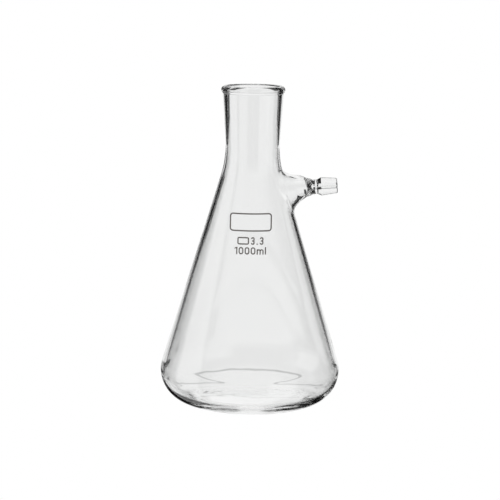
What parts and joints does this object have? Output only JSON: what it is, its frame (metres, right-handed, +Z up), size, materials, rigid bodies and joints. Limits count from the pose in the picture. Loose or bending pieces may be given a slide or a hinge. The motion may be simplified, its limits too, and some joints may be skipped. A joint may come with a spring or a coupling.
{
  "type": "filter flask",
  "caption": "Thick-walled conical glass suction flask with a beaded neck, a side arm ending in a hose nozzle, and fired enamel marks.",
  "frame": {"origin": "middle of the surface that the flask stands on, on the flask's axis", "axes": "+Z up the flask's axis to the rim; +X along the side arm, seen from above; the enamel marks face -Y"},
  "size_m": [0.133, 0.133, 0.235],
  "materials": {
    "glass": "clear, smooth, fire-polished",
    "enamel": "fired, satin"
  },
  "bodies": {
    "root": {"flask_body": "glass", "side_arm": "glass", "marking_field": "enamel", "glass_grade_mark": "enamel", "capacity_mark": "enamel"}
  },
  "joints": []
}
